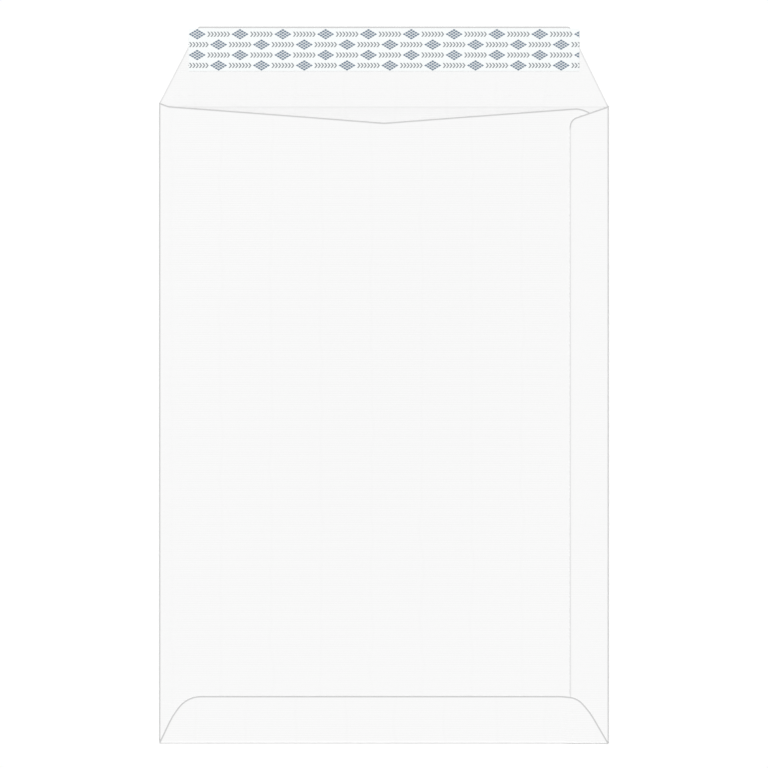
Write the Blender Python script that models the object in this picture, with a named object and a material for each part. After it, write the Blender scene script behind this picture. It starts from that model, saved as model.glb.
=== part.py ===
"""C4 pocket envelope of laid paper, resting on its address side with the closure flap opened out.

The envelope is one die-cut blank: a flat outline with the thickness of the paper. The blank is cut along
its creases and then folded: the back panel over the left edge, the side seam flap over the right edge, and
the bottom flap up over both. X runs to the right, Y towards the closure flap and Z up, and all sizes are in
metres. The envelope is first laid out with Y = 0 on its bottom edge, and then centred on the origin.
"""

import math

import bmesh
import bpy
from mathutils import Matrix, Vector

# Pocket, measured over its folds
BODY_WIDTH = 0.229
BODY_HEIGHT = 0.324

# Paper and what lies between its layers
PAPER = 0.00014
GLUE_FILM = 0.00006
SEAT_GAP = 0.00002

# Closure flap, from its crease to its free edge
FLAP_HEIGHT = 0.041
FLAP_TIP_WIDTH = 0.1888
FLAP_CORNER_RADIUS = 0.0015
CREASE_RISE = 0.00005
CREASE_HALF_WIDTH = 0.0006

# Back panel and its throat, the shallow V across its top edge
BACK_PANEL_INSET = 0.0035
BACK_PANEL_FOOT = 0.002
FOOT_CORNER_RADIUS = 0.003
THROAT_DEPTH = 0.0083
THROAT_RADIUS = 0.012
THROAT_END_RISE = 0.0004
SHOULDER_RISE = 0.0023
SHOULDER_RUN = 0.005
SHOULDER_RADIUS = 0.003
BACK_CORNER_RADIUS = 0.0135

# Side seam flap, glued on the back panel
SEAM_FLAP_WIDTH = 0.020
SEAM_FLAP_SLANT = 0.35
SEAM_CORNER_RADIUS = 0.0052
SEAM_NOTCH_RISE = 0.0006

# Bottom flap, glued over the back panel and the side seam flap. Each end slopes in from the side fold to a
# knee and from there to the free edge. Runs are measured in from the side fold.
BOTTOM_FLAP_HEIGHT = 0.0238
LEFT_KNEE_RUN = 0.0063
LEFT_KNEE_HEIGHT = 0.0137
LEFT_TIP_RUN = 0.0140
LEFT_TIP_RADIUS = 0.0143
RIGHT_KNEE_RUN = 0.0092
RIGHT_KNEE_HEIGHT = 0.0162
RIGHT_TIP_RUN = 0.0161
RIGHT_TIP_RADIUS = 0.0102
KNEE_RADIUS = 0.035

# Step by which the bottom flap climbs from the back panel onto the side seam flap
STEP_RUN = 0.004
STEP_CLEARANCE = 0.0005

# How far the empty pocket gapes at the middle of its mouth
MOUTH_GAPE = 0.0052

# Glue lines
GLUE_LINE_WIDTH = 0.005
SIDE_GLUE_INSET = 0.0035
BOTTOM_GLUE_INSET = 0.007
GLUE_END_MARGIN = 0.012

# Peel-and-seal closure
ADHESIVE_LENGTH = 0.180
ADHESIVE_WIDTH = 0.016
ADHESIVE_THICKNESS = 0.00005
LINER_LENGTH = 0.199
LINER_WIDTH = 0.0217
LINER_THICKNESS = 0.00006
LINER_INSET = 0.001

# How finely the bends, corners and the gaping panel are cut
BEND_STEPS = 6
STEP_CUTS = 4
GAPE_COLUMNS = 20
GAPE_ROWS = 20
ARC_STEP = math.radians(9)

# One layer of the folded stack, with the air or glue above it
LAYER = PAPER + GLUE_FILM + 2 * SEAT_GAP

# Bend radii at the middle of the paper: each panel lands one layer above what it covers
LEFT_BEND = LAYER / 2
RIGHT_BEND = LAYER
BOTTOM_BEND_LOW = LAYER
BOTTOM_BEND_HIGH = 1.5 * LAYER

# Where each bend starts, so that its outside lies on the pocket's edge
LEFT_CREASE = -BODY_WIDTH / 2 + LEFT_BEND + PAPER / 2
RIGHT_CREASE = BODY_WIDTH / 2 - RIGHT_BEND - PAPER / 2
BOTTOM_CREASE = BOTTOM_BEND_HIGH + PAPER / 2

# Edges of the folded panels
SEAM_EDGE = BODY_WIDTH / 2 - SEAM_FLAP_WIDTH
BACK_PANEL_EDGE = BODY_WIDTH / 2 - BACK_PANEL_INSET
STEP_END = SEAM_EDGE - STEP_CLEARANCE
STEP_START = STEP_END - STEP_RUN
SEAM_FALL = SEAM_FLAP_WIDTH * SEAM_FLAP_SLANT
FLAP_TOP = BODY_HEIGHT + FLAP_HEIGHT
MIDDLE_Y = FLAP_TOP / 2

WHITE_PAPER = (0.93, 0.93, 0.93, 1.0)
LINER_WHITE = (0.90, 0.92, 0.94, 1.0)
GLUE_CLEAR = (0.86, 0.84, 0.76, 1.0)


def start_collection(name):
    """Empty the scene and return a new collection for the envelope's pieces."""
    for old in list(bpy.data.objects):
        bpy.data.objects.remove(old, do_unlink=True)
    collection = bpy.data.collections.new(name)
    bpy.context.scene.collection.children.link(collection)
    return collection


def plain_material(name, colour, roughness):
    """Make a matt material in one colour."""
    material = bpy.data.materials.new(name)
    material.use_nodes = True
    shader = material.node_tree.nodes["Principled BSDF"]
    shader.inputs["Base Color"].default_value = colour
    shader.inputs["Roughness"].default_value = roughness
    shader.inputs["Metallic"].default_value = 0.0
    material.diffuse_color = colour
    return material


def smooth_step(value):
    """Ease from 0 to 1 with level ends, and stay there outside that range."""
    value = min(max(value, 0.0), 1.0)
    return value * value * (3 - 2 * value)


def rounded_outline(corners):
    """Turn (x, y, radius) corners into outline points, with each round corner an arc."""
    places = [Vector((x, y)) for x, y, _ in corners]
    points = []
    for index, (_, _, radius) in enumerate(corners):
        corner = places[index]
        if radius == 0:
            points.append(corner)
            continue
        back = (places[index - 1] - corner).normalized()
        ahead = (places[(index + 1) % len(places)] - corner).normalized()
        half = back.angle(ahead) / 2
        centre = corner + (back + ahead).normalized() * (radius / math.sin(half))
        spoke = corner + back * (radius / math.tan(half)) - centre
        turn = math.copysign(math.pi - 2 * half, -back.cross(ahead))
        steps = max(2, math.ceil(abs(turn) / ARC_STEP))
        for step in range(steps + 1):
            points.append(centre + Matrix.Rotation(turn * step / steps, 2) @ spoke)
    return points


def slab_mesh(name, outline, thickness):
    """Fill a flat outline, give it its thickness and return it as one closed mesh about Z = 0."""
    curve = bpy.data.curves.new(name, "CURVE")
    curve.dimensions = "2D"
    curve.fill_mode = "BOTH"
    curve.extrude = thickness / 2
    spline = curve.splines.new("POLY")
    spline.points.add(len(outline) - 1)
    for point, place in zip(spline.points, outline):
        point.co = (place.x, place.y, 0.0, 1.0)
    spline.use_cyclic_u = True
    guide = bpy.data.objects.new(name, curve)
    bpy.context.scene.collection.objects.link(guide)
    bpy.context.view_layer.update()
    mesh = bpy.data.meshes.new_from_object(guide.evaluated_get(bpy.context.evaluated_depsgraph_get()))
    bpy.data.objects.remove(guide, do_unlink=True)
    bpy.data.curves.remove(curve)
    work = bmesh.new()
    work.from_mesh(mesh)
    bmesh.ops.remove_doubles(work, verts=work.verts, dist=thickness / 100)
    bmesh.ops.dissolve_limit(work, angle_limit=math.radians(0.1), verts=work.verts, edges=work.edges)
    bmesh.ops.recalc_face_normals(work, faces=work.faces)
    work.to_mesh(mesh)
    work.free()
    return mesh


def place_piece(name, mesh, material, collection, height=0.0):
    """Add a piece at its height above the table, with the whole envelope centred on the origin."""
    mesh.materials.clear()
    mesh.materials.append(material)
    piece = bpy.data.objects.new(name, mesh)
    piece.location = (0.0, -MIDDLE_Y, height)
    collection.objects.link(piece)
    return piece


def left_blank(x):
    """Place on the flat blank of a point that the left fold lays at x."""
    return LEFT_CREASE - math.pi * LEFT_BEND - (x - LEFT_CREASE)


def right_blank(x):
    """Place on the flat blank of a point that the right fold lays at x."""
    return RIGHT_CREASE + math.pi * RIGHT_BEND + (RIGHT_CREASE - x)


def bottom_blank(y):
    """Place on the flat blank of a point that the bottom fold lays at y."""
    return BOTTOM_CREASE - math.pi * BOTTOM_BEND_HIGH - (y - BOTTOM_CREASE)


def blank_corners():
    """Corners of the die-cut blank, anticlockwise from the right end of the closure flap's free edge."""
    throat_end = BODY_HEIGHT + THROAT_END_RISE
    seam_top = BODY_HEIGHT + SEAM_NOTCH_RISE
    bottom_edge = bottom_blank(BOTTOM_FLAP_HEIGHT)
    closure_flap = [
        (FLAP_TIP_WIDTH / 2, FLAP_TOP, FLAP_CORNER_RADIUS),
        (-FLAP_TIP_WIDTH / 2, FLAP_TOP, FLAP_CORNER_RADIUS),
        (LEFT_CREASE, BODY_HEIGHT + SHOULDER_RISE, 0),
    ]
    back_panel = [
        (left_blank(-BODY_WIDTH / 2 + SHOULDER_RUN), throat_end, SHOULDER_RADIUS),
        (left_blank(0.0), BODY_HEIGHT - THROAT_DEPTH, THROAT_RADIUS),
        (left_blank(BACK_PANEL_EDGE), throat_end, BACK_CORNER_RADIUS),
        (left_blank(BACK_PANEL_EDGE), BACK_PANEL_FOOT, FOOT_CORNER_RADIUS),
        (left_blank(LEFT_CREASE), BACK_PANEL_FOOT, 0),
    ]
    bottom_flap = [
        (LEFT_CREASE, BOTTOM_CREASE, 0),
        (LEFT_CREASE, bottom_blank(BOTTOM_CREASE), 0),
        (LEFT_CREASE + LEFT_KNEE_RUN, bottom_blank(LEFT_KNEE_HEIGHT), KNEE_RADIUS),
        (LEFT_CREASE + LEFT_TIP_RUN, bottom_edge, LEFT_TIP_RADIUS),
        (RIGHT_CREASE - RIGHT_TIP_RUN, bottom_edge, RIGHT_TIP_RADIUS),
        (RIGHT_CREASE - RIGHT_KNEE_RUN, bottom_blank(RIGHT_KNEE_HEIGHT), KNEE_RADIUS),
        (RIGHT_CREASE, bottom_blank(BOTTOM_CREASE), 0),
        (RIGHT_CREASE, BOTTOM_CREASE, 0),
    ]
    seam_flap = [
        (right_blank(SEAM_EDGE), BOTTOM_CREASE + SEAM_FALL, SEAM_CORNER_RADIUS),
        (right_blank(SEAM_EDGE), seam_top - SEAM_FALL, SEAM_CORNER_RADIUS),
        (RIGHT_CREASE, seam_top, 0),
    ]
    return closure_flap + back_panel + bottom_flap + seam_flap


def cut_across(work, places, axis, x_range=(-math.inf, math.inf), y_limit=math.inf):
    """Cut the faces inside an X range and below a Y limit along lines at the given places on one axis."""
    for place in places:
        faces = []
        for face in work.faces:
            middle = face.calc_center_median()
            if x_range[0] < middle.x < x_range[1] and middle.y < y_limit:
                faces.append(face)
        edges = {edge for face in faces for edge in face.edges}
        verts = {vert for face in faces for vert in face.verts}
        origin = Vector((0.0, 0.0, 0.0))
        normal = Vector((0.0, 0.0, 0.0))
        origin[axis] = place
        normal[axis] = 1.0
        bmesh.ops.bisect_plane(
            work, geom=list(verts) + list(edges) + faces, dist=1e-7, plane_co=origin, plane_no=normal
        )


def even_lines(start, end, count):
    """Places of evenly spaced cuts from start to end, both included."""
    return [start + (end - start) * step / count for step in range(count + 1)]


def cut_blank(work):
    """Cut the blank along its creases, and finely enough where the paper curves."""
    left_end = left_blank(LEFT_CREASE)
    body = (LEFT_CREASE, RIGHT_CREASE)
    cut_across(work, even_lines(LEFT_CREASE, left_end, BEND_STEPS), 0)
    cut_across(work, even_lines(RIGHT_CREASE, right_blank(RIGHT_CREASE), BEND_STEPS), 0)
    cut_across(work, even_lines(BOTTOM_CREASE, bottom_blank(BOTTOM_CREASE), BEND_STEPS), 1, body)
    crease = even_lines(BODY_HEIGHT - CREASE_HALF_WIDTH, BODY_HEIGHT + CREASE_HALF_WIDTH, 2)
    cut_across(work, crease, 1, body)
    cut_across(work, even_lines(STEP_START, STEP_END, STEP_CUTS), 0, y_limit=BOTTOM_CREASE)
    gape_columns = even_lines(left_end, left_blank(STEP_END), GAPE_COLUMNS)
    cut_across(work, gape_columns[1:], 0, (-math.inf, left_end))
    gape_rows = even_lines(BOTTOM_FLAP_HEIGHT, BODY_HEIGHT, GAPE_ROWS)
    cut_across(work, gape_rows, 1, (left_blank(STEP_END), left_end))


def gape_at(x, y):
    """How far the back panel stands off the front panel at a folded place, up to the side seam flap."""
    across = (x - LEFT_CREASE) / (STEP_END - LEFT_CREASE)
    along = (y - BOTTOM_FLAP_HEIGHT) / (BODY_HEIGHT - BOTTOM_FLAP_HEIGHT)
    return MOUTH_GAPE * math.sin(math.pi * min(max(across, 0.0), 1.0)) * smooth_step(along)


def bottom_bend_at(x):
    """Bend radius of the bottom fold, wider where the flap has the side seam flap below it."""
    rise = smooth_step((x - STEP_START) / STEP_RUN)
    return BOTTOM_BEND_LOW + (BOTTOM_BEND_HIGH - BOTTOM_BEND_LOW) * rise


def crease_at(y):
    """Height of the ridge that the flap's fold left across the sheet."""
    return CREASE_RISE * max(0.0, 1 - abs(y - BODY_HEIGHT) / CREASE_HALF_WIDTH)


def fold_over(past, level, radius):
    """Carry a point round a half-turn bend.

    past is how far beyond the start of the bend it lies on the flat blank, and level how far above the
    middle of the paper. Returns how far beyond the start it ends, and its height.
    """
    bend = math.pi * radius
    if past >= bend:
        return bend - past, 2 * radius - level
    angle = past / radius
    reach = radius - level
    return reach * math.sin(angle), radius - reach * math.cos(angle)


def fold_point(flat):
    """Carry one point of the flat blank to its place on the folded envelope."""
    x, y, level = flat
    if y < BOTTOM_CREASE:
        past, height = fold_over(BOTTOM_CREASE - y, level, bottom_bend_at(x))
        return Vector((x, BOTTOM_CREASE - past, height))
    if x < LEFT_CREASE:
        past, height = fold_over(LEFT_CREASE - x, level, LEFT_BEND)
        folded_x = LEFT_CREASE - past
        return Vector((folded_x, y, height + gape_at(folded_x, y)))
    if x > RIGHT_CREASE:
        past, height = fold_over(x - RIGHT_CREASE, level, RIGHT_BEND)
        return Vector((RIGHT_CREASE + past, y, height))
    return Vector((x, y, level + crease_at(y)))


def make_envelope_sheet(material, collection):
    """Cut and fold the blank into the pocket, its seams and the opened closure flap."""
    mesh = slab_mesh("envelope_sheet", rounded_outline(blank_corners()), PAPER)
    work = bmesh.new()
    work.from_mesh(mesh)
    cut_blank(work)
    for vert in work.verts:
        vert.co = fold_point(vert.co)
    work.to_mesh(mesh)
    work.free()
    return place_piece("envelope_sheet", mesh, material, collection, PAPER / 2)


def strip_outline(x_range, y_range):
    """Outline of a strip with straight edges and square ends."""
    (x_low, x_high), (y_low, y_high) = x_range, y_range
    corners = [(x_low, y_low, 0), (x_high, y_low, 0), (x_high, y_high, 0), (x_low, y_high, 0)]
    return rounded_outline(corners)


def make_side_seam_glue(material, collection):
    """Lay the glue line between the back panel and the side seam flap."""
    start = SEAM_EDGE + SIDE_GLUE_INSET
    outline = strip_outline(
        (start, min(start + GLUE_LINE_WIDTH, BACK_PANEL_EDGE - SEAT_GAP)),
        (BOTTOM_CREASE + SEAM_FALL + GLUE_END_MARGIN, BODY_HEIGHT - SEAM_FALL - GLUE_END_MARGIN),
    )
    mesh = slab_mesh("side_seam_glue", outline, GLUE_FILM)
    height = LAYER + PAPER + SEAT_GAP + GLUE_FILM / 2
    place_piece("side_seam_glue", mesh, material, collection, height)


def make_bottom_seam_glue(material, collection):
    """Lay the glue line below the bottom flap, stepped up onto the side seam flap as the flap is."""
    left_end = LEFT_CREASE + LEFT_TIP_RUN + GLUE_END_MARGIN
    right_end = RIGHT_CREASE - RIGHT_TIP_RUN - GLUE_END_MARGIN
    low_edge = BOTTOM_FLAP_HEIGHT - BOTTOM_GLUE_INSET - GLUE_LINE_WIDTH
    outline = strip_outline((left_end, right_end), (low_edge, low_edge + GLUE_LINE_WIDTH))
    mesh = slab_mesh("bottom_seam_glue", outline, GLUE_FILM)
    work = bmesh.new()
    work.from_mesh(mesh)
    cut_across(work, even_lines(STEP_START, STEP_END, STEP_CUTS), 0)
    for vert in work.verts:
        vert.co.z += 2 * bottom_bend_at(vert.co.x) - PAPER / 2 - SEAT_GAP - GLUE_FILM / 2
    work.to_mesh(mesh)
    work.free()
    place_piece("bottom_seam_glue", mesh, material, collection, PAPER / 2)


def make_closure(adhesive, liner, collection):
    """Lay the adhesive band on the closure flap and the release liner over the band."""
    liner_top = FLAP_TOP - LINER_INSET
    middle = liner_top - LINER_WIDTH / 2
    band = strip_outline(
        (-ADHESIVE_LENGTH / 2, ADHESIVE_LENGTH / 2),
        (middle - ADHESIVE_WIDTH / 2, middle + ADHESIVE_WIDTH / 2),
    )
    band_bottom = PAPER + SEAT_GAP
    band_mesh = slab_mesh("seal_adhesive", band, ADHESIVE_THICKNESS)
    place_piece("seal_adhesive", band_mesh, adhesive, collection, band_bottom + ADHESIVE_THICKNESS / 2)
    strip = strip_outline((-LINER_LENGTH / 2, LINER_LENGTH / 2), (liner_top - LINER_WIDTH, liner_top))
    liner_bottom = band_bottom + ADHESIVE_THICKNESS + SEAT_GAP
    liner_mesh = slab_mesh("release_liner", strip, LINER_THICKNESS)
    place_piece("release_liner", liner_mesh, liner, collection, liner_bottom + LINER_THICKNESS / 2)


def main():
    """Build every piece of the envelope."""
    collection = start_collection("laid_paper_envelope")
    paper = plain_material("envelope_paper", WHITE_PAPER, 0.85)
    liner = plain_material("liner_paper", LINER_WHITE, 0.4)
    glue = plain_material("seam_glue", GLUE_CLEAR, 0.6)
    adhesive = plain_material("seal_band", GLUE_CLEAR, 0.3)
    make_envelope_sheet(paper, collection)
    make_side_seam_glue(glue, collection)
    make_bottom_seam_glue(glue, collection)
    make_closure(adhesive, liner, collection)


main()
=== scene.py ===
"""Looks of a C4 pocket envelope of laid paper, lying with its closure flap opened out.

The sheet is cut flat, as one blank, and then folded by a node tree, so that its laid lines run on round
every fold as they do in the real sheet. The peel-off liner, its print, the adhesive band and the glue
lines are dressed in the places that the frame gives them. All sizes are in metres.
"""

import logging
import math
from dataclasses import asdict, dataclass, field
from enum import Enum
from functools import partial, reduce
from typing import Optional, Sequence, Union

import bmesh
import bpy
import numpy as np
from mathutils import Matrix, Vector


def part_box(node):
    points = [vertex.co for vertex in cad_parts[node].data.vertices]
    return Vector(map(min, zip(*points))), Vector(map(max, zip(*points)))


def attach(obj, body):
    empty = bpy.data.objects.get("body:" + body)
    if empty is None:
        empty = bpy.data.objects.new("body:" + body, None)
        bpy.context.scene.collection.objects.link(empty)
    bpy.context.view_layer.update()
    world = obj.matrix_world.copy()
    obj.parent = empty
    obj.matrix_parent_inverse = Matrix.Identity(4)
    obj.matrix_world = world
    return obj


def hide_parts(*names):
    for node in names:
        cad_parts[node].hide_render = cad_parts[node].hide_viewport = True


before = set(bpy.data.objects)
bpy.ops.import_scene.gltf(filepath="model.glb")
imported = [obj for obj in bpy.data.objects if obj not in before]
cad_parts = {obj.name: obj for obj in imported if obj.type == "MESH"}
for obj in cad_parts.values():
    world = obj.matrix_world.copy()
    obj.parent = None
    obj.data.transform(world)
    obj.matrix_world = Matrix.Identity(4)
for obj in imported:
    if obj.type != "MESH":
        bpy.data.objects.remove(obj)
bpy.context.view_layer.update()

logging.basicConfig(level=logging.INFO, format="%(name)s: %(message)s")
LOG = logging.getLogger("envelope")

BODY = "root"
SHEET_NODE = "envelope_sheet"
LINER_NODE = "release_liner"
BAND_NODE = "seal_adhesive"
GLUE_NODES = ("side_seam_glue", "bottom_seam_glue")

# The mesh attribute that holds the painted shade and highlight lines along the paper's edges and folds.
PAINTED_SHADE_ATTRIBUTE = "painted_edge_shade"
BLANK_UV = "blank"

X_AXIS = Vector((1.0, 0.0, 0.0))
Y_AXIS = Vector((0.0, 1.0, 0.0))
# A cut that passes a vertex this closely runs through it.
CUT_REACH = 2e-6
# A point less than this past a fold's start still lies on the near side.
PAST_FOLD = 1e-7
# The least squared length of an edge that something is divided by.
LEAST_SQUARE = 1e-18
# A Mix node's two colour inputs and its colour output.
MIX_COLOURS = slice(6, 8)
MIX_RESULT = 2

Tree = bpy.types.NodeTree
Node = bpy.types.Node
Socket = bpy.types.NodeSocket
Material = bpy.types.Material
Piece = bpy.types.Object
Triple = tuple[float, float, float]
Pair = tuple[float, float]
Value = Union[float, tuple[float, ...], Socket]


class Slot(Enum):
    """Material slots of the record."""

    PAPER = "envelope_paper"
    LINER = "liner_paper"


class Ink(Enum):
    """Printing inks on the release liner, as linear colours."""

    GREY = (0.215, 0.240, 0.255)
    BLUE = (0.075, 0.132, 0.200)


class PaintedEdgeShade(Enum):
    """How dark the painted shade line along an edge or fold of the paper is, or, below zero, how light its
    painted highlight is.
    """

    # A painted highlight, for the line along the bottom fold.
    GLEAM = -0.14
    NONE = 0.0
    FAINT = 0.20
    LIGHT = 0.45
    MEDIUM = 0.75
    FULL = 1.0


@dataclass
class NodeWriter:
    """Adds nodes to a tree and joins them.

    Args:
        tree: The shader or geometry tree that is written.
    """

    tree: Tree

    def add(self, kind: str, *values: Value, **settings: object) -> Node:
        """Add a node, set its properties, and fill its first inputs in order.

        Args:
            kind: The node's type name.
            values: What its first inputs get.
            settings: Property values by name.

        Returns:
            The new node.
        """
        node = self.tree.nodes.new(kind)
        for name, setting in settings.items():
            setattr(node, name, setting)
        for socket, value in zip(node.inputs, values):
            self.put(socket, value)
        return node

    def put(self, socket: Socket, value: Value) -> None:
        """Link an input to a socket, or set it to a plain value.

        Args:
            socket: The input.
            value: What it gets.
        """
        if isinstance(value, Socket):
            self.tree.links.new(value, socket)
        else:
            socket.default_value = value

    def fill(self, node: Node, values: dict[str, Value]) -> Node:
        """Fill a node's inputs by name.

        Args:
            node: The node.
            values: What its inputs get.

        Returns:
            The same node.
        """
        for name, value in values.items():
            self.put(node.inputs[name], value)
        return node

    def math(self, operation: str, *values: Value, clamp: bool = False) -> Socket:
        """Work out one operation on numbers, kept between 0 and 1 if it is clamped."""
        return self.add("ShaderNodeMath", *values, operation=operation, use_clamp=clamp).outputs[0]

    def plus(self, *parts: Value) -> Socket:
        """Add numbers up, from the first on."""
        return reduce(partial(self.math, "ADD"), parts)

    def times(self, *parts: Value) -> Socket:
        """Multiply numbers, from the first on."""
        return reduce(partial(self.math, "MULTIPLY"), parts)

    def minus(self, whole: Value, part: Value) -> Socket:
        """Take one number from another."""
        return self.math("SUBTRACT", whole, part)

    def over(self, value: Value, limit: Value) -> Socket:
        """How far a value lies over a limit, or 0 where it lies under it."""
        return self.math("MAXIMUM", self.minus(value, limit), 0.0)

    def ease(self, value: Value, start: Value, end: Value, low: Value, high: Value) -> Socket:
        """Ease from low to high while a value runs from start to end."""
        ramp = self.add("ShaderNodeMapRange", value, start, end, low, high, interpolation_type="SMOOTHSTEP")
        return ramp.outputs["Result"]

    def split(self, vector: Socket) -> tuple[Socket, ...]:
        """Split a vector into its X, Y and Z."""
        return tuple(self.add("ShaderNodeSeparateXYZ", vector).outputs)

    def combine(self, x: Value, y: Value, z: Value) -> Socket:
        """Join three numbers into a vector."""
        return self.add("ShaderNodeCombineXYZ", x, y, z).outputs[0]


@dataclass
class ShapeTree(NodeWriter):
    """A geometry tree whose sizes are named inputs.

    Args:
        tree: The geometry tree.
        start: The tree's input node.
        end: The tree's output node.
    """

    start: Node
    end: Node

    @classmethod
    def begin(cls, name: str, sizes: Sequence[str], results: Sequence[str] = ()) -> "ShapeTree":
        """Start a tree with its named sizes.

        Args:
            name: The tree's name.
            sizes: The names of its number inputs.
            results: The names of its number outputs. A tree that has none passes geometry through.

        Returns:
            The writer of the new tree.
        """
        tree = bpy.data.node_groups.new(name, "GeometryNodeTree")
        if not results:
            for way in ("INPUT", "OUTPUT"):
                tree.interface.new_socket("Geometry", in_out=way, socket_type="NodeSocketGeometry")
        for way, numbers in (("INPUT", sizes), ("OUTPUT", results)):
            for number in numbers:
                tree.interface.new_socket(number, in_out=way, socket_type="NodeSocketFloat")
        return cls(tree, tree.nodes.new("NodeGroupInput"), tree.nodes.new("NodeGroupOutput"))

    def size(self, name: str) -> Socket:
        """The socket of one named input."""
        return self.start.outputs[name]

    def material_input(self) -> Socket:
        """Add an input for the finish and return its socket."""
        self.tree.interface.new_socket("Finish", in_out="INPUT", socket_type="NodeSocketMaterial")
        return self.start.outputs["Finish"]

    def use(self, group: Tree, *values: Value) -> Node:
        """Use another tree as one node and fill its inputs in order."""
        return self.add("GeometryNodeGroup", *values, node_tree=group)

    def here(self) -> tuple[Socket, ...]:
        """The X, Y and Z of each point."""
        return self.split(self.add("GeometryNodeInputPosition").outputs[0])

    def grid(self, size_x: Value, size_y: Value, count_x: Value, count_y: Value) -> Socket:
        """A flat grid about the origin, with its counts of points along X and Y."""
        return self.add("GeometryNodeMeshGrid", size_x, size_y, count_x, count_y).outputs["Mesh"]

    def move_to(self, geometry: Socket, place: Socket) -> Socket:
        """Set every point of a geometry to a place."""
        node = self.fill(self.add("GeometryNodeSetPosition"), {"Geometry": geometry, "Position": place})
        return node.outputs["Geometry"]

    def repeat(self, points: Socket, shape: Socket) -> Socket:
        """Copy a shape to every point, as real meshes."""
        copies = self.fill(self.add("GeometryNodeInstanceOnPoints"), {"Points": points, "Instance": shape})
        return self.add("GeometryNodeRealizeInstances", copies.outputs["Instances"]).outputs["Geometry"]

    def finish_with(self, geometry: Socket, finish: Socket) -> None:
        """End the tree in real meshes that carry their finish.

        Args:
            geometry: What the tree has made.
            finish: The material.
        """
        real = self.add("GeometryNodeRealizeInstances", geometry).outputs["Geometry"]
        dressed = self.fill(self.add("GeometryNodeSetMaterial"), {"Geometry": real, "Material": finish})
        self.fill(self.end, {"Geometry": dressed.outputs["Geometry"]})


def run_tree(piece: Piece, tree: Tree, values: dict[str, object]) -> None:
    """Run a geometry tree on an object and keep its result as a plain mesh.

    Args:
        piece: The object whose mesh goes in, and is replaced by the result.
        tree: The geometry tree.
        values: The tree's inputs by name.
    """
    modifier = piece.modifiers.new(tree.name, "NODES")
    modifier.node_group = tree
    for item in tree.interface.items_tree:
        if item.item_type == "SOCKET" and item.in_out == "INPUT" and item.name in values:
            modifier[item.identifier] = values[item.name]
    piece.update_tag()
    bpy.context.view_layer.update()
    keep_evaluated(piece)


def keep_evaluated(piece: Piece) -> None:
    """Replace an object's mesh with what its modifiers make of it, and remove them.

    Args:
        piece: The object.
    """
    old = piece.data
    graph = bpy.context.evaluated_depsgraph_get()
    made = bpy.data.meshes.new_from_object(piece.evaluated_get(graph), depsgraph=graph)
    piece.modifiers.clear()
    piece.data = made
    made.name = piece.name
    bpy.data.meshes.remove(old)


def link_object(name: str, data: bpy.types.ID) -> Piece:
    """Put a mesh, lamp or camera in the scene as an object at the origin.

    Args:
        name: The object's name.
        data: Its mesh, lamp or camera.

    Returns:
        The new object.
    """
    thing = bpy.data.objects.new(name, data)
    bpy.context.scene.collection.objects.link(thing)
    return thing


def cut_plane(work: bmesh.types.BMesh, point: Vector, normal: Vector, clear: bool = False) -> None:
    """Cut a mesh along a plane.

    Args:
        work: The mesh.
        point: A point of the plane.
        normal: The plane's normal.
        clear: Whether what lies beyond the plane is removed.
    """
    everything = work.verts[:] + work.edges[:] + work.faces[:]
    bmesh.ops.bisect_plane(
        work, geom=everything, dist=CUT_REACH, plane_co=point, plane_no=normal, clear_outer=clear
    )


def seat_piece(piece: Piece, slot: Slot, *nodes: str) -> None:
    """Let a finished piece ride on the envelope and stand for its CAD nodes.

    Args:
        piece: The finished piece.
        slot: The record's material slot. Not used.
        nodes: The CAD nodes that it replaces.
    """
    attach(piece, BODY)
    if nodes:
        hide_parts(*nodes)
    LOG.info("%s: %d faces", piece.name, len(piece.data.polygons))


def dress_node(name: str, material: Material) -> None:
    """Give a kept CAD node its finish.

    Args:
        name: The node.
        material: Its finish.
    """
    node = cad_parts[name]
    node.data.materials.clear()
    node.data.materials.append(material)
    LOG.info("%s: kept, %d faces", name, len(node.data.polygons))


def scaled(colour: Triple, share: float) -> Triple:
    """A colour made darker or lighter by a share, at most white."""
    return tuple(min(part * share, 1.0) for part in colour)


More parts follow.
